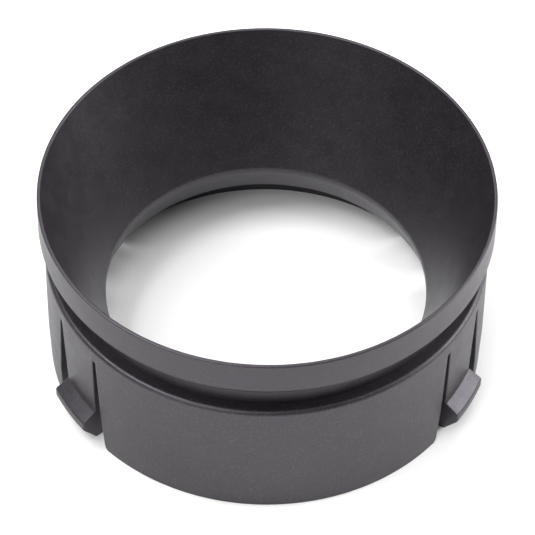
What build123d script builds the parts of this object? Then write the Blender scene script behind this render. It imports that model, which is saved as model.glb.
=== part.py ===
"""Clip-on snoot for a round spot lamp: a conical glare funnel seated in a skirt ring with four snap fingers.

Millimetres, +Z up. The origin is on the snoot's axis at the skirt's foot, so the wide mouth looks up.
The snap fingers stand in two pairs, one pair towards -X and the other towards +X.
"""

from build123d import *
from math import cos, radians, sin, sqrt
import os

# Funnel: the mouth, the rim band round it, the cone and the collar under the throat
rim_diameter = 90.0
overall_height = 43.8
rim_land = 0.4  # flat top of the rim, inside its round
rim_round = 0.3
band_height = 7.15
throat_diameter = 64.1  # where the lines of the cone and the collar meet
throat_depth = 29.0  # from the rim down to the narrowest place
throat_round = 2.6
collar_height = 6.6
collar_flare = 2.25  # how much larger the radius is at the collar's foot than at the throat
funnel_wall = 1.8

# Groove under the rim band, with the neck at its bottom
groove_depth = 2.65  # from the skirt's face in to the neck
neck_wall = 2.0

# Skirt ring
skirt_step = 1.0  # the skirt's face stands this far inside the rim's
skirt_height = 28.75
skirt_wall = 3.6
shoulder_round = 0.95
lead_in_height = 9.0  # the foot of the skirt tapers over this height
lead_in = 0.3
foot_corner_round = 1.5  # the ring's lower corners beside each finger

# Spigot that seats the funnel in the skirt ring
spigot_depth = 3.0
spigot_wall = 1.8
seat_clearance = 0.05

# Snap fingers and the slots beside them
finger_spread = 30.0  # degrees from the X axis to each finger of a pair
finger_wall = 2.2
finger_root_width = 11.8
finger_tip_width = 10.2
finger_lean = 0.8  # the tip leans in this far, over the finger's length
finger_foot = 0.35  # the tip clears the surface that the skirt stands on
slot_margin = 3.55  # skirt left over the slots, up to its shoulder
root_gap = 0.3
slot_root_width = 0.8
slot_tip_width = 3.4
slot_round = 0.35

# Hook at the end of each finger
hook_reach = 2.3  # beyond the skirt's face
catch_height = 8.55  # where the catch ramp leaves the finger
nose_top = 6.65
nose_bottom = 4.6
nose_round = 0.35

rim_radius = rim_diameter / 2
mouth_radius = rim_radius - rim_round - rim_land
throat_radius = throat_diameter / 2
throat_height = overall_height - throat_depth
collar_foot = throat_height - collar_height
collar_radius = throat_radius + collar_flare
band_foot = overall_height - band_height

skirt_radius = rim_radius - skirt_step
skirt_bore = skirt_radius - skirt_wall
neck_radius = skirt_radius - groove_depth
spigot_radius = skirt_bore - seat_clearance

root_height = skirt_height - slot_margin
finger_top = root_height - root_gap
hook_radius = skirt_radius + hook_reach
cut_margin = 1.0  # cutting shapes run this far past what they cut

# Lines of the funnel's wall: thickness measured level, across the sloping cone and collar
cone_slope = (mouth_radius - throat_radius) / throat_depth
collar_slope = collar_flare / collar_height
cone_across = funnel_wall * sqrt(1 + cone_slope**2)
collar_across = funnel_wall * sqrt(1 + collar_slope**2)
waist_height = throat_height - (cone_across - collar_across) / (cone_slope + collar_slope)


def cone_back(height):
    """Radius of the funnel's outer face at a height on the cone."""
    return throat_radius + cone_across + (height - throat_height) * cone_slope


def finger_face(height):
    """Radius of a finger's outer face, which leans in towards its tip."""
    return skirt_radius - finger_lean * (finger_top - height) / (finger_top - finger_foot)


def taper(root_width, tip_width, height):
    """Width at a height, for a shape that runs from its tip width at the foot to its root width."""
    return tip_width + (root_width - tip_width) * height / root_height


def finger_plane(angle):
    """Plane through the axis facing out along the finger at that angle from +X: x is sideways, y is up."""
    turn = radians(angle)
    outward = (cos(turn), sin(turn), 0)
    sideways = (-sin(turn), cos(turn), 0)
    return Plane(origin=(0, 0, 0), x_dir=sideways, z_dir=outward)


finger_angles = {
    "snap_finger_front_left": 180 + finger_spread,
    "snap_finger_front_right": -finger_spread,
    "snap_finger_rear_left": 180 - finger_spread,
    "snap_finger_rear_right": finger_spread,
}


os.makedirs("parts", exist_ok=True)

# Glare funnel: cone, rim band, neck, spigot and collar, turned in one piece around the light path
with BuildPart() as glare_funnel:
    with BuildSketch(Plane.XZ) as funnel_section:
        with BuildLine():
            Polyline(
                (mouth_radius, overall_height),
                (throat_radius, throat_height),
                (collar_radius, collar_foot),
                (collar_radius + collar_across, collar_foot),
                (cone_back(waist_height), waist_height),
                (cone_back(band_foot), band_foot),
                close=True,
            )
        make_face()
        band_width = rim_radius - cone_back(band_foot) + funnel_wall / 2  # its inner side is in the cone's wall
        with Locations((rim_radius, overall_height)):
            Rectangle(band_width, band_height, align=(Align.MAX, Align.MAX))
        with Locations((neck_radius, skirt_height)):
            Rectangle(neck_wall, band_foot - skirt_height, align=(Align.MAX, Align.MIN))
        with Locations((spigot_radius, skirt_height)):
            Rectangle(spigot_wall, spigot_depth, align=(Align.MAX, Align.MAX))
        with BuildLine():
            wall_line = FilletPolyline(
                (mouth_radius + cone_slope * cut_margin, overall_height + cut_margin),
                (throat_radius, throat_height),
                (collar_radius + collar_slope * cut_margin, collar_foot - cut_margin),
                radius=throat_round,
            )
            Polyline(wall_line @ 1, (0, collar_foot - cut_margin), (0, overall_height + cut_margin), wall_line @ 0)
        make_face(mode=Mode.SUBTRACT)
        fillet(funnel_section.vertices().group_by(Axis.X)[-1], radius=rim_round)
    revolve(axis=Axis.Z)
glare_funnel.part.label = "glare_funnel"
export_step(glare_funnel.part, "parts/glare_funnel.step")

# Mounting ring: the skirt, open at a window for each snap finger. Its section is drawn clear of the windows
with BuildPart() as mounting_ring:
    with BuildSketch(Plane.YZ) as skirt_section:
        with BuildLine():
            Polyline(
                (skirt_bore, 0),
                (skirt_radius - lead_in, 0),
                (skirt_radius, lead_in_height),
                (skirt_radius, skirt_height),
                (skirt_bore, skirt_height),
                close=True,
            )
        make_face()
        fillet(skirt_section.vertices().group_by(Axis.Y)[-1].sort_by(Axis.X)[-1], radius=shoulder_round)
        # Room for the cone's back, where it comes down inside a thicker skirt
        with BuildLine():
            Polyline(
                (0, throat_height),
                (cone_back(throat_height) + seat_clearance, throat_height),
                (cone_back(skirt_height + cut_margin) + seat_clearance, skirt_height + cut_margin),
                (0, skirt_height + cut_margin),
                close=True,
            )
        make_face(mode=Mode.SUBTRACT)
    revolve(axis=Axis.Z)
    with BuildSketch(*[finger_plane(angle) for angle in finger_angles.values()]) as windows:
        root_half = finger_root_width / 2 + slot_root_width
        tip_half = finger_tip_width / 2 + slot_tip_width
        low_half = taper(root_half, tip_half, -cut_margin)
        with BuildLine():
            Polyline(
                (-low_half, -cut_margin),
                (low_half, -cut_margin),
                (root_half, root_height),
                (-root_half, root_height),
                close=True,
            )
        make_face()
        fillet(windows.vertices().group_by(Axis.Y)[-1], radius=slot_round)
    extrude(amount=rim_radius, mode=Mode.SUBTRACT)
    corners = mounting_ring.edges().filter_by(GeomType.LINE).group_by(Axis.Z)[0]
    fillet(corners, radius=foot_corner_round)
mounting_ring.part.label = "mounting_ring"
export_step(mounting_ring.part, "parts/mounting_ring.step")


def snap_finger(angle):
    """One snap finger with its hook, hanging from its root at the top of its window."""
    with BuildPart() as finger:
        with BuildSketch(Plane.XZ) as finger_section:
            with BuildLine():
                Polyline(
                    (finger_face(finger_top), finger_top),
                    (finger_face(catch_height), catch_height),
                    (hook_radius, nose_top),
                    (hook_radius, nose_bottom),
                    (finger_face(finger_foot), finger_foot),
                    (finger_face(finger_foot) - finger_wall, finger_foot),
                    (finger_face(finger_top) - finger_wall, finger_top),
                    close=True,
                )
            make_face()
            fillet(finger_section.vertices().group_by(Axis.X)[-1], radius=nose_round)
        revolve(axis=Axis.Z)
        with BuildSketch(finger_plane(angle)):
            with BuildLine():
                Polyline(
                    (-finger_tip_width / 2, 0),
                    (finger_tip_width / 2, 0),
                    (finger_root_width / 2, root_height),
                    (-finger_root_width / 2, root_height),
                    close=True,
                )
            make_face()
        extrude(amount=hook_radius + cut_margin, mode=Mode.INTERSECT)
    return finger.part


for name, angle in finger_angles.items():
    finger_part = snap_finger(angle)
    finger_part.label = name
    export_step(finger_part, f"parts/{name}.step")
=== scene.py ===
from math import cos, hypot, pi, radians, sin

import bmesh
import bpy
from mathutils import Matrix, Vector


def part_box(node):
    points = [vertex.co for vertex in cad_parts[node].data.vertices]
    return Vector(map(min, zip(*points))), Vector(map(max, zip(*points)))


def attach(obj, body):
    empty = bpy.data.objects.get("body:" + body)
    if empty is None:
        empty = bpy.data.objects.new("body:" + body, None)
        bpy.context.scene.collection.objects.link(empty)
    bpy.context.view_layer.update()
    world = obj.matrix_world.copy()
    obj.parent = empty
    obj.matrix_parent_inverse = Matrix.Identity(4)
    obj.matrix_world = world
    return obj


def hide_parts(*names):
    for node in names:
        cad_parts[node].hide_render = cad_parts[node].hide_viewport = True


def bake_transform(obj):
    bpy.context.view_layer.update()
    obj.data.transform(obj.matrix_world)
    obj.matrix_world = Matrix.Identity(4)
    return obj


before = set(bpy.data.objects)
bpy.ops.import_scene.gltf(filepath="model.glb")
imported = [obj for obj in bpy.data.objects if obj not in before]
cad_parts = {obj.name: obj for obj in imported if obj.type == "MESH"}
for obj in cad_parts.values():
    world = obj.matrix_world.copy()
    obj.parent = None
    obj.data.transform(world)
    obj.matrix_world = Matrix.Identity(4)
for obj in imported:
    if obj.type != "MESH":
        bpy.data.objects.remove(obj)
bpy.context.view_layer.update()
bpy.ops.object.select_all(action="DESELECT")

near = 0.00002         # two places closer than this are the same place
mergeReach = 0.000004  # corners closer than this are merged
creaseAngle = 50       # edges that turn by more than this, in degrees, stay crisp
faceWeight = 80        # how far large faces set the shading of the rounds beside them
fingerSpread = pi / 6  # from the X axis to each finger of a pair
fingerAngles = {
    "front_left": pi + fingerSpread,
    "front_right": -fingerSpread,
    "rear_left": pi - fingerSpread,
    "rear_right": fingerSpread,
}


# Working in edit mode: what to select is told by place, then Blender's own tools do the shaping

def startEdit(piece):
    bpy.ops.object.select_all(action="DESELECT")
    bpy.context.view_layer.objects.active = piece
    piece.select_set(True)
    bpy.ops.object.mode_set(mode="EDIT")
    bpy.ops.mesh.select_mode(type="VERT")
    bpy.ops.mesh.select_all(action="SELECT")


def endEdit():
    bpy.ops.mesh.select_all(action="DESELECT")
    bpy.ops.object.mode_set(mode="OBJECT")


def pick(piece, kind, wanted):
    # kind is verts, edges or faces; wanted is asked for each one
    bpy.ops.mesh.select_mode(type={"verts": "VERT", "edges": "EDGE", "faces": "FACE"}[kind])
    bpy.ops.mesh.select_all(action="DESELECT")
    shape = bmesh.from_edit_mesh(piece.data)
    found = [part for part in getattr(shape, kind) if wanted(part)]
    for part in found:
        part.select_set(True)
    bmesh.update_edit_mesh(piece.data)
    return len(found)


def allEnds(edge, test):
    return all(test(end.co) for end in edge.verts)


def cutAcross(place, direction):
    bpy.ops.mesh.select_all(action="SELECT")
    bpy.ops.mesh.bisect(plane_co=place, plane_no=direction)


def roundEdges(rounding):
    width, steps = rounding
    bpy.ops.mesh.bevel(offset=width, offset_type="OFFSET", segments=steps, profile=0.5, affect="EDGES")


def applyModifier(piece, kind, **settings):
    bpy.context.view_layer.objects.active = piece
    bpy.ops.object.modifier_add(type=kind)
    modifier = piece.modifiers[-1]
    for name, value in settings.items():
        setattr(modifier, name, value)
    bpy.ops.object.modifier_apply(modifier=modifier.name)


def mergeAndFaceOut(piece):
    startEdit(piece)
    bpy.ops.mesh.remove_doubles(threshold=mergeReach)
    bpy.ops.mesh.normals_make_consistent(inside=False)
    endEdit()


def finishShading(piece):
    bpy.ops.object.select_all(action="DESELECT")
    bpy.context.view_layer.objects.active = piece
    piece.select_set(True)
    bpy.ops.object.shade_smooth_by_angle(angle=radians(creaseAngle))
    applyModifier(piece, "WEIGHTED_NORMAL", mode="FACE_AREA", weight=faceWeight, keep_sharp=True)
    piece.select_set(False)


# Glare funnel: a ring of edges pulled round its section, from the rim's outside to its inside

funnelSizes = {
    "sides": 288,
    "rimLand": 0.0007,        # from the outside to where the cone starts
    "bandHeight": 0.00715,
    "throatRadius": 0.03205,  # where the lines of the cone and the collar meet
    "throatDepth": 0.029,
    "collarFlare": 0.00225,
    "coneAcross": 0.00195,    # walls measured level
    "collarAcross": 0.0019,
    "neckRadius": 0.04135,
    "spigotRadius": 0.04035,
    "spigotDepth": 0.003,
    "rimRound": (0.0003, 4),  # each round's width and its steps
    "mouthRound": (0.00012, 2),
    "bandFootRound": (0.00012, 2),
    "grooveRound": (0.0003, 3),
    "throatRound": (0.00094, 10),
    "collarRound": (0.0003, 3),
}


def pulledRing(name, section, sides):
    firstRadius, firstHeight = section[0]
    bpy.ops.mesh.primitive_circle_add(vertices=sides, radius=firstRadius, location=(0, 0, firstHeight))
    piece = bpy.context.object
    piece.name = name
    bpy.ops.object.transform_apply(location=True)
    startEdit(piece)
    radius, height = section[0]
    for nextRadius, nextHeight in section[1:] + section[:1]:
        bpy.ops.mesh.extrude_region_move(TRANSFORM_OT_translate={"value": (0, 0, nextHeight - height)})
        grow = nextRadius / radius
        bpy.ops.transform.resize(value=(grow, grow, 1), center_override=(0, 0, 0))
        radius, height = nextRadius, nextHeight
    endEdit()
    mergeAndFaceOut(piece)
    return piece


def roundRing(piece, radius, height, rounding):
    def onRing(place):
        return abs(hypot(place.x, place.y) - radius) < near and abs(place.z - height) < near

    startEdit(piece)
    found = pick(piece, "edges", lambda edge: allEnds(edge, onRing))
    if found == 0:
        raise ValueError(f"no ring of edges at radius {radius}, height {height}")
    roundEdges(rounding)
    endEdit()


def makeFunnel():
    size = funnelSizes
    low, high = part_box("glare_funnel")
    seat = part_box("mounting_ring")[1].z
    rim, top = high.x, high.z
    mouth = rim - size["rimLand"]
    bandFoot = top - size["bandHeight"]
    throatHeight = top - size["throatDepth"]
    coneSlope = (mouth - size["throatRadius"]) / size["throatDepth"]
    collarSlope = size["collarFlare"] / (throatHeight - low.z)

    def coneBack(height):
        return size["throatRadius"] + size["coneAcross"] + (height - throatHeight) * coneSlope

    waist = throatHeight - (size["coneAcross"] - size["collarAcross"]) / (coneSlope + collarSlope)
    collar = size["throatRadius"] + size["collarFlare"]
    neckTop = throatHeight + (size["neckRadius"] - size["throatRadius"] - size["coneAcross"]) / coneSlope
    spigotFoot = seat - size["spigotDepth"]
    section = [
        (rim, top),
        (rim, bandFoot),
        (coneBack(bandFoot), bandFoot),
        (size["neckRadius"], neckTop),
        (size["neckRadius"], seat),
        (size["spigotRadius"], seat),
        (size["spigotRadius"], spigotFoot),
        (coneBack(spigotFoot), spigotFoot),
        (coneBack(waist), waist),
        (collar + size["collarAcross"], low.z),
        (collar, low.z),
        (size["throatRadius"], throatHeight),
        (mouth, top),
    ]
    funnel = pulledRing("funnel_shell", section, size["sides"])
    roundRing(funnel, rim, top, size["rimRound"])
    roundRing(funnel, mouth, top, size["mouthRound"])
    roundRing(funnel, rim, bandFoot, size["bandFootRound"])
    roundRing(funnel, coneBack(bandFoot), bandFoot, size["grooveRound"])
    roundRing(funnel, size["neckRadius"], neckTop, size["grooveRound"])
    roundRing(funnel, size["throatRadius"], throatHeight, size["throatRound"])
    roundRing(funnel, collar, low.z, size["collarRound"])
    roundRing(funnel, collar + size["collarAcross"], low.z, size["collarRound"])
    finishShading(funnel)
    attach(funnel, "snoot_body")
    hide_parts("glare_funnel")
    print("funnel shell made")
    return funnel


# Skirt: its arcs between the fingers are shaped flat, outside towards -Y, then bent to the round

skirtSizes = {
    "wall": 0.0036,
    "slotRootWidth": 0.0008,
    "slotTipWidth": 0.0034,
    "leadInHeight": 0.009,
    "leadIn": 0.0003,
    "columnWidth": 0.00095,
    "rootColumns": 6,
    "shoulderRound": (0.00095, 7),  # each round's width and its steps
    "footCornerRound": (0.0015, 6),
    "slotCornerRound": (0.00035, 4),
    "edgeRound": (0.00022, 3),
    "edgeAngle": 60,                # the outline's edges turn by more than this, in degrees
}
rootGap = 0.0003        # between a CAD finger's top and the skirt; the visible finger runs across it
fingerRootHalf = 0.0059
fingerTipHalf = 0.0051


def flatSheet(name, width, height, foot=0.0):
    bpy.ops.mesh.primitive_plane_add(size=1, rotation=(pi / 2, 0, 0), location=(0, 0, foot + height / 2))
    piece = bpy.context.object
    piece.name = name
    piece.scale = (width, height, 1)
    bpy.ops.object.transform_apply(location=True, rotation=True, scale=True)
    return piece


def bendRound(piece, angle, radius):
    bpy.ops.object.select_all(action="DESELECT")
    piece.select_set(True)
    applyModifier(piece, "SIMPLE_DEFORM", deform_method="BEND", deform_axis="Z", angle=angle)
    piece.location = (0, -radius, 0)
    bpy.ops.object.transform_apply(location=True)


def turnedCopy(piece, name, angle):
    copied = piece.copy()
    copied.data = piece.data.copy()
    copied.name = name
    bpy.context.scene.collection.objects.link(copied)
    copied.rotation_euler = (0, 0, angle)
    bpy.ops.object.select_all(action="DESELECT")
    bpy.context.view_layer.objects.active = copied
    copied.select_set(True)
    bpy.ops.object.transform_apply(rotation=True)
    return copied


def makeSkirtArc(name, span):
    # span is the angle from the middle of one finger to the middle of the next
    size = skirtSizes
    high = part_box("mounting_ring")[1]
    radius, top = high.x, high.z
    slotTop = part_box("snap_finger_front_right")[1].z + rootGap
    seam = span * radius / 2
    slotSide = seam - fingerRootHalf - size["slotRootWidth"]
    footSide = seam - fingerTipHalf - size["slotTipWidth"]

    def level(edge):
        return abs(edge.verts[0].co.z - edge.verts[1].co.z) < near

    arc = flatSheet(name, 2 * seam, top)
    startEdit(arc)
    cutAcross((0, 0, slotTop), (0, 0, 1))
    for side in (-1, 1):
        cutAcross((side * slotSide, 0, 0), (1, 0, 0))
        cutAcross((side * (seam - fingerRootHalf), 0, 0), (1, 0, 0))
    pick(arc, "faces", lambda face: face.calc_center_median().z < slotTop
         and abs(face.calc_center_median().x) > slotSide)
    bpy.ops.mesh.delete(type="FACE")
    pick(arc, "verts", lambda corner: corner.co.z < near)
    bpy.ops.transform.resize(value=(footSide / slotSide, 1, 1), center_override=(0, 0, 0))
    cutAcross((0, 0, size["leadInHeight"]), (0, 0, 1))
    pick(arc, "edges", lambda edge: level(edge)
         and allEnds(edge, lambda place: abs(place.x) < slotSide + near))
    bpy.ops.mesh.subdivide(number_cuts=round(2 * slotSide / size["columnWidth"]))
    pick(arc, "edges", lambda edge: level(edge)
         and allEnds(edge, lambda place: abs(place.x) > seam - fingerRootHalf - near))
    bpy.ops.mesh.subdivide(number_cuts=size["rootColumns"] - 1)
    bpy.ops.mesh.select_all(action="SELECT")
    bpy.ops.mesh.extrude_region_move(TRANSFORM_OT_translate={"value": (0, size["wall"], 0)})
    bpy.ops.mesh.select_all(action="SELECT")
    bpy.ops.mesh.normals_make_consistent(inside=False)
    pick(arc, "faces", lambda face: all(abs(abs(corner.co.x) - seam) < near for corner in face.verts))
    bpy.ops.mesh.delete(type="ONLY_FACE")
    pick(arc, "verts", lambda corner: corner.co.z < near and corner.co.y < near)
    bpy.ops.transform.translate(value=(0, size["leadIn"], 0))

    def throughWall(edge, x, z):
        return allEnds(edge, lambda place: abs(abs(place.x) - x) < near and abs(place.z - z) < near)

    def outlineEdge(edge):
        middle = (edge.verts[0].co + edge.verts[1].co) / 2
        if len(edge.link_faces) < 2 or middle.z > slotTop + near:
            return False
        if middle.z > slotTop - near and abs(middle.x) > seam - fingerRootHalf:
            return False
        return edge.calc_face_angle() > radians(size["edgeAngle"])

    pick(arc, "edges", lambda edge: throughWall(edge, footSide, 0))
    roundEdges(size["footCornerRound"])
    pick(arc, "edges", lambda edge: throughWall(edge, slotSide, slotTop))
    roundEdges(size["slotCornerRound"])
    pick(arc, "edges", lambda edge: allEnds(edge, lambda place: place.z > top - near and place.y < near))
    roundEdges(size["shoulderRound"])
    pick(arc, "edges", outlineEdge)
    roundEdges(size["edgeRound"])
    endEdit()
    bendRound(arc, span, radius)
    return arc


def makeSkirt():
    front = makeSkirtArc("skirt_shell", pi - 2 * fingerSpread)
    side = makeSkirtArc("skirt_side", 2 * fingerSpread)
    parts = [front, turnedCopy(front, "skirt_rear", pi)]
    parts += [turnedCopy(side, f"skirt_side_{turn}", turn * pi / 2) for turn in (1, 3)]
    bpy.data.objects.remove(side)
    bpy.ops.object.select_all(action="DESELECT")
    for part in parts:
        part.select_set(True)
    bpy.context.view_layer.objects.active = front
    bpy.ops.object.join()
    mergeAndFaceOut(front)
    finishShading(front)
    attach(front, "snoot_body")
    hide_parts("mounting_ring")
    print("skirt shell made")
    return front


# Snap fingers: one is shaped flat with its hook, bent to the skirt's round and copied to each window

fingerSizes = {
    "wall": 0.0022,
    "hookReach": 0.0023,  # beyond the skirt's outside
    "lean": 0.0008,
    "catchHeight": 0.00855,
    "noseTop": 0.00665,
    "noseBottom": 0.0046,
    "columns": 12,
    "rows": 14,           # between the hook and the root, where the finger flexes
    "noseRound": (0.00035, 4),  # each round's width and its steps
    "edgeRound": (0.00022, 3),
    "edgeAngle": 32,      # edges that turn by more than this, in degrees, are rounded
    "flexLength": 0.014,  # from the root down, the stretch where the real finger flexes
}


def makeFingers():
    size = fingerSizes
    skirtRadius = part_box("mounting_ring")[1].x
    low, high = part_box("snap_finger_front_right")
    foot, slotTop, hookReach = low.z, high.z + rootGap, size["hookReach"]

    flat = flatSheet("finger_flat", 2 * fingerRootHalf, slotTop - foot, foot)
    startEdit(flat)
    pick(flat, "verts", lambda corner: corner.co.z < foot + near)
    bpy.ops.transform.resize(value=(fingerTipHalf / fingerRootHalf, 1, 1), center_override=(0, 0, 0))
    heights = [size["noseBottom"], size["noseTop"], size["catchHeight"]]
    step = (slotTop - size["catchHeight"]) / size["rows"]
    heights += [size["catchHeight"] + step * row for row in range(1, size["rows"])]
    for height in heights:
        cutAcross((0, 0, height), (0, 0, 1))
    pick(flat, "edges", lambda edge: abs(edge.verts[0].co.z - edge.verts[1].co.z) < near)
    bpy.ops.mesh.subdivide(number_cuts=size["columns"] - 1)
    bpy.ops.mesh.select_all(action="SELECT")
    bpy.ops.mesh.extrude_region_move(TRANSFORM_OT_translate={"value": (0, size["wall"], 0)})
    bpy.ops.mesh.select_all(action="SELECT")
    bpy.ops.mesh.normals_make_consistent(inside=False)

    def outsideAt(corner, height):
        return abs(corner.co.z - height) < near and corner.co.y < size["wall"] / 2

    for height in (size["noseBottom"], size["noseTop"]):
        pick(flat, "verts", lambda corner: outsideAt(corner, height))
        bpy.ops.transform.translate(value=(0, -hookReach, 0))
    for height in [foot] + heights:  # the finger leans in towards its tip
        leanHere = size["lean"] * (slotTop - height) / (slotTop - foot)
        hooked = height in (size["noseBottom"], size["noseTop"])
        pick(flat, "verts", lambda corner: abs(corner.co.z - height) < near
             and not (hooked and corner.co.y < size["wall"] / 2))
        bpy.ops.transform.translate(value=(0, leanHere, 0))

    def onNose(place):
        return abs(place.y + hookReach) < near

    pick(flat, "edges", lambda edge: allEnds(edge, onNose)
         and abs(edge.verts[0].co.z - edge.verts[1].co.z) < near)
    roundEdges(size["noseRound"])
    pick(flat, "edges", lambda edge: len(edge.link_faces) == 2
         and edge.calc_face_angle() > radians(size["edgeAngle"])
         and not allEnds(edge, lambda place: place.z > slotTop - near))
    roundEdges(size["edgeRound"])
    endEdit()
    bendRound(flat, 2 * fingerRootHalf / skirtRadius, skirtRadius)
    mergeAndFaceOut(flat)

    fingers = []
    for side, angle in fingerAngles.items():
        finger = turnedCopy(flat, f"finger_{side}", angle + pi / 2)
        finishShading(finger)
        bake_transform(finger)
        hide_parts(f"snap_finger_{side}")
        fingers.append(finger)
    bpy.data.objects.remove(flat)
    print("snap fingers made")
    return fingers


funnel = makeFunnel()
skirt = makeSkirt()
fingers = makeFingers()


# Black plastic: a fine spark-eroded grain, slow cloudiness, and edges rubbed a little smoother and
# lightened in colour as a painted highlight

def startGroup(name, inputs, outputs):
    # inputs and outputs are each socket's name and kind
    group = bpy.data.node_groups.new(name, "ShaderNodeTree")
    for direction, sockets in (("INPUT", inputs), ("OUTPUT", outputs)):
        for label, kind in sockets.items():
            group.interface.new_socket(name=label, in_out=direction, socket_type=f"NodeSocket{kind}")
    given = group.nodes.new("NodeGroupInput")
    result = group.nodes.new("NodeGroupOutput")
    return group, given, result


grainShape = {
    "detail": 3,
    "roughness": 0.6,
    "cloudDetail": 5,
    "cloudRoughness": 0.62,
    "cloudRange": (0.35, 0.7),   # noise values where the cloud colour starts and is full
    "speckRange": (0.52, 0.78),
}


def addRange(nodes, valueRange):
    mask = nodes.new("ShaderNodeMapRange")
    mask.inputs["From Min"].default_value, mask.inputs["From Max"].default_value = valueRange
    return mask


def addNoise(nodes, detail, roughness):
    noise = nodes.new("ShaderNodeTexNoise")
    noise.inputs["Detail"].default_value = detail
    noise.inputs["Roughness"].default_value = roughness
    return noise


def addColourMix(nodes):
    mix = nodes.new("ShaderNodeMix")
    mix.data_type = "RGBA"
    return mix


def makeMouldGrain():
    inputs = {
        "Vector": "Vector",
        "Colour": "Color",
        "Cloud Colour": "Color",
        "Speck Colour": "Color",
        "Roughness": "Float",
        "Roughness Spread": "Float",
        "Grain Size": "Float",
        "Cloud Size": "Float",
    }
    outputs = {"Colour Out": "Color", "Roughness Out": "Float", "Height": "Float"}
    group, given, result = startGroup("mouldGrain", inputs, outputs)
    nodes, links = group.nodes, group.links

    grain = addNoise(nodes, grainShape["detail"], grainShape["roughness"])
    links.new(given.outputs["Vector"], grain.inputs["Vector"])
    links.new(given.outputs["Grain Size"], grain.inputs["Scale"])
    cloud = addNoise(nodes, grainShape["cloudDetail"], grainShape["cloudRoughness"])
    links.new(given.outputs["Vector"], cloud.inputs["Vector"])
    links.new(given.outputs["Cloud Size"], cloud.inputs["Scale"])

    cloudMask = addRange(nodes, grainShape["cloudRange"])
    links.new(cloud.outputs["Fac"], cloudMask.inputs["Value"])
    tint = addColourMix(nodes)
    links.new(cloudMask.outputs["Result"], tint.inputs["Factor"])
    links.new(given.outputs["Colour"], tint.inputs["A"])
    links.new(given.outputs["Cloud Colour"], tint.inputs["B"])
    speckMask = addRange(nodes, grainShape["speckRange"])
    links.new(grain.outputs["Fac"], speckMask.inputs["Value"])
    speckled = addColourMix(nodes)
    links.new(speckMask.outputs["Result"], speckled.inputs["Factor"])
    links.new(tint.outputs["Result"], speckled.inputs["A"])
    links.new(given.outputs["Speck Colour"], speckled.inputs["B"])

    centred = nodes.new("ShaderNodeMath")
    centred.operation = "SUBTRACT"
    centred.inputs[1].default_value = 0.5
    links.new(cloud.outputs["Fac"], centred.inputs[0])
    rougher = nodes.new("ShaderNodeMath")
    rougher.operation = "MULTIPLY_ADD"
    links.new(centred.outputs["Value"], rougher.inputs[0])
    links.new(given.outputs["Roughness Spread"], rougher.inputs[1])
    links.new(given.outputs["Roughness"], rougher.inputs[2])

    links.new(speckled.outputs["Result"], result.inputs["Colour Out"])
    links.new(rougher.outputs["Value"], result.inputs["Roughness Out"])
    links.new(grain.outputs["Fac"], result.inputs["Height"])
    return group


rubAndHighlightShape = {
    "samples": 4,
    "likeness": (0.99, 0.90),  # of the softened normal to the true one, where the edge mask (smoother roughness and painted highlight) starts and is full
}


# the edge mask drives a smoother roughness and a painted highlight: edges are lightened in colour along
# the bright edge lines
def makeEdgeRubAndHighlight():
    group, given, result = startGroup("edgeRubAndHighlight", {"Reach": "Float", "Amount": "Float"}, {"Mask": "Float"})
    nodes, links = group.nodes, group.links
    softened = nodes.new("ShaderNodeBevel")
    softened.samples = rubAndHighlightShape["samples"]
    links.new(given.outputs["Reach"], softened.inputs["Radius"])
    shape = nodes.new("ShaderNodeNewGeometry")
    likeness = nodes.new("ShaderNodeVectorMath")
    likeness.operation = "DOT_PRODUCT"
    links.new(softened.outputs["Normal"], likeness.inputs[0])
    links.new(shape.outputs["Normal"], likeness.inputs[1])
    edge = addRange(nodes, rubAndHighlightShape["likeness"])
    links.new(likeness.outputs["Value"], edge.inputs["Value"])
    share = nodes.new("ShaderNodeMath")
    share.operation = "MULTIPLY"
    links.new(edge.outputs["Result"], share.inputs[0])
    links.new(given.outputs["Amount"], share.inputs[1])
    links.new(share.outputs["Value"], result.inputs["Mask"])
    return group


def addGroup(nodes, group, values):
    placed = nodes.new("ShaderNodeGroup")
    placed.node_tree = group
    for name, value in values.items():
        placed.inputs[name].default_value = value
    return placed


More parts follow.
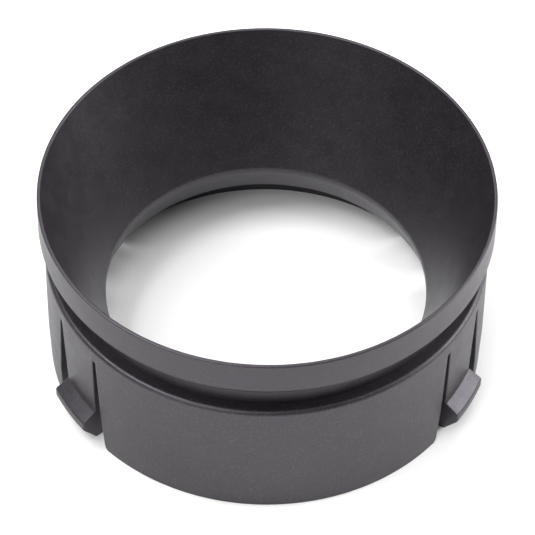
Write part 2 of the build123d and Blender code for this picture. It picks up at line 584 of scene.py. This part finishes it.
def makePlastic(name, look, grainGroup, rubAndHighlightGroup):
    material = bpy.data.materials.new(name)
    material.use_nodes = True
    nodes, links = material.node_tree.nodes, material.node_tree.links
    shader = nodes["Principled BSDF"]
    shader.inputs["IOR"].default_value = look["ior"]
    shader.inputs["Specular Tint"].default_value = look["sheenTint"] + (1,)
    place = nodes.new("ShaderNodeTexCoord")
    grain = addGroup(nodes, grainGroup, {
        "Colour": look["colour"] + (1,),
        "Cloud Colour": look["cloudColour"] + (1,),
        "Speck Colour": look["speckColour"] + (1,),
        "Roughness": look["roughness"],
        "Roughness Spread": look["roughnessSpread"],
        "Grain Size": look["grainSize"],
        "Cloud Size": look["cloudSize"],
    })
    links.new(place.outputs["Object"], grain.inputs["Vector"])
    rubAndHighlight = addGroup(nodes, rubAndHighlightGroup, {"Reach": look["rubAndHighlightReach"], "Amount": look["rubAndHighlightAmount"]})

    # painted highlight: edges are mixed towards a lighter colour
    highlightedColour = addColourMix(nodes)
    highlightedColour.inputs["B"].default_value = look["edgeHighlightColour"] + (1,)
    links.new(rubAndHighlight.outputs["Mask"], highlightedColour.inputs["Factor"])
    links.new(grain.outputs["Colour Out"], highlightedColour.inputs["A"])
    links.new(highlightedColour.outputs["Result"], shader.inputs["Base Color"])
    rubbedRoughness = nodes.new("ShaderNodeMix")
    rubbedRoughness.inputs["B"].default_value = look["rubRoughness"]
    links.new(rubAndHighlight.outputs["Mask"], rubbedRoughness.inputs["Factor"])
    links.new(grain.outputs["Roughness Out"], rubbedRoughness.inputs["A"])
    links.new(rubbedRoughness.outputs["Result"], shader.inputs["Roughness"])
    bump = nodes.new("ShaderNodeBump")
    bump.inputs["Strength"].default_value = look["bumpStrength"]
    bump.inputs["Distance"].default_value = look["bumpDistance"]
    links.new(grain.outputs["Height"], bump.inputs["Height"])
    links.new(bump.outputs["Normal"], shader.inputs["Normal"])
    return material


funnelLook = {
    "colour": (0.0102, 0.0086, 0.0106),
    "cloudColour": (0.0128, 0.0106, 0.0130),
    "speckColour": (0.040, 0.035, 0.040),
    "roughness": 0.40,
    "roughnessSpread": 0.2,
    "grainSize": 2600.0,
    "cloudSize": 240.0,
    "bumpStrength": 0.5,
    "bumpDistance": 0.00004,
    "rubAndHighlightReach": 0.00035,
    "rubAndHighlightAmount": 0.35,
    # the lighter edge colour is a painted highlight; the smoother edge roughness below is the rubbed
    # finish
    "edgeHighlightColour": (0.020, 0.019, 0.019),
    "rubRoughness": 0.3,
    "ior": 1.57,
    "sheenTint": (0.95, 0.89, 1.0),
}
ringLook = dict(
    funnelLook,
    speckColour=(0.052, 0.045, 0.050),
    roughness=0.43,
    grainSize=2300.0,
    bumpStrength=0.7,
)

grainGroup = makeMouldGrain()
rubAndHighlightGroup = makeEdgeRubAndHighlight()
funnelPlastic = makePlastic("funnelPlastic", funnelLook, grainGroup, rubAndHighlightGroup)
ringPlastic = makePlastic("ringPlastic", ringLook, grainGroup, rubAndHighlightGroup)
for piece in [funnel, skirt] + fingers:
    piece.data.materials.clear()
    piece.data.materials.append(funnelPlastic if piece == funnel else ringPlastic)
print("plastics made")


# Studio: a plain white floor under soft boxes, the strongest high on the left

studioSizes = {
    "floorSize": 6.0,
    "floorColour": (0.86, 0.86, 0.86, 1),
    "floorRoughness": 0.8,
    "roomGlow": 0.1,
    "backdropGlow": 1.0,
}


def makeFloor():
    bpy.ops.mesh.primitive_plane_add(size=studioSizes["floorSize"], location=(0, 0, 0))
    floor = bpy.context.object
    floor.name = "floor"
    paint = bpy.data.materials.new("floorPaint")
    paint.use_nodes = True
    shader = paint.node_tree.nodes["Principled BSDF"]
    shader.inputs["Base Color"].default_value = studioSizes["floorColour"]
    shader.inputs["Roughness"].default_value = studioSizes["floorRoughness"]
    floor.data.materials.append(paint)


def makeRoom():
    world = bpy.data.worlds.new("room")
    bpy.context.scene.world = world
    world.use_nodes = True
    nodes, links = world.node_tree.nodes, world.node_tree.links
    nodes.clear()
    output = nodes.new("ShaderNodeOutputWorld")
    chooser = nodes.new("ShaderNodeMixShader")
    seen = nodes.new("ShaderNodeLightPath")
    glow = nodes.new("ShaderNodeBackground")
    backdrop = nodes.new("ShaderNodeBackground")
    glow.inputs["Strength"].default_value = studioSizes["roomGlow"]
    backdrop.inputs["Strength"].default_value = studioSizes["backdropGlow"]
    for light in (glow, backdrop):
        light.inputs["Color"].default_value = (1, 1, 1, 1)
    links.new(seen.outputs["Is Camera Ray"], chooser.inputs["Fac"])
    links.new(glow.outputs["Background"], chooser.inputs[1])
    links.new(backdrop.outputs["Background"], chooser.inputs[2])
    links.new(chooser.outputs["Shader"], output.inputs["Surface"])


def makeSoftBox(name, box):
    # glow is how bright the box's face looks, so its power follows from its size
    light = bpy.data.lights.new(name, "AREA")
    light.shape = "RECTANGLE"
    light.size, light.size_y = box["width"], box["height"]
    light.energy = box["glow"] * box["width"] * box["height"] * pi
    bulb = bpy.data.objects.new(name, light)
    bpy.context.scene.collection.objects.link(bulb)
    around, up = radians(box["around"]), radians(box["up"])
    outward = Vector((cos(around) * cos(up), sin(around) * cos(up), sin(up)))
    bulb.location = outward
    bulb.rotation_euler = (-outward).to_track_quat("-Z", "Y").to_euler()


# each stands a metre away: degrees around from the right-hand side, and up from the floor
softBoxes = {
    "boxLeft": {"around": 180, "up": 60, "width": 0.5, "height": 0.5, "glow": 10.9},
    "boxRight": {"around": 8, "up": 27, "width": 0.6, "height": 0.6, "glow": 9.8},
    "boxFront": {"around": 235, "up": 45, "width": 0.6, "height": 0.85, "glow": 3.3},
    "boxRear": {"around": 92, "up": 50, "width": 1.0, "height": 0.6, "glow": 2.4},
    "boxTop": {"around": 0, "up": 78, "width": 0.6, "height": 0.6, "glow": 3.0},
}

makeFloor()
makeRoom()
for name, box in softBoxes.items():
    makeSoftBox(name, box)

# metres and degrees, azimuth from the front
cameraView = {
    "aim": (0.0002, -0.0009, 0.0219),
    "distance": 0.6879,
    "azimuth": -2.75,
    "elevation": 48.66,
    "roll": 0.80,
    "lens": 231.8,
    "sensor": 36.0,
}


def makeCamera():
    lens = bpy.data.cameras.new("camera")
    lens.lens = cameraView["lens"]
    lens.sensor_width = cameraView["sensor"]
    camera = bpy.data.objects.new("camera", lens)
    bpy.context.scene.collection.objects.link(camera)
    azimuth, elevation = radians(cameraView["azimuth"]), radians(cameraView["elevation"])
    back = Vector((sin(azimuth) * cos(elevation), -cos(azimuth) * cos(elevation), sin(elevation)))
    camera.location = Vector(cameraView["aim"]) + back * cameraView["distance"]
    turn = Matrix.Rotation(azimuth, 4, "Z") @ Matrix.Rotation(pi / 2 - elevation, 4, "X")
    camera.rotation_euler = (turn @ Matrix.Rotation(radians(cameraView["roll"]), 4, "Z")).to_euler()
    bpy.context.scene.camera = camera


makeCamera()
bpy.context.scene.view_settings.view_transform = "Standard"
print("studio made")
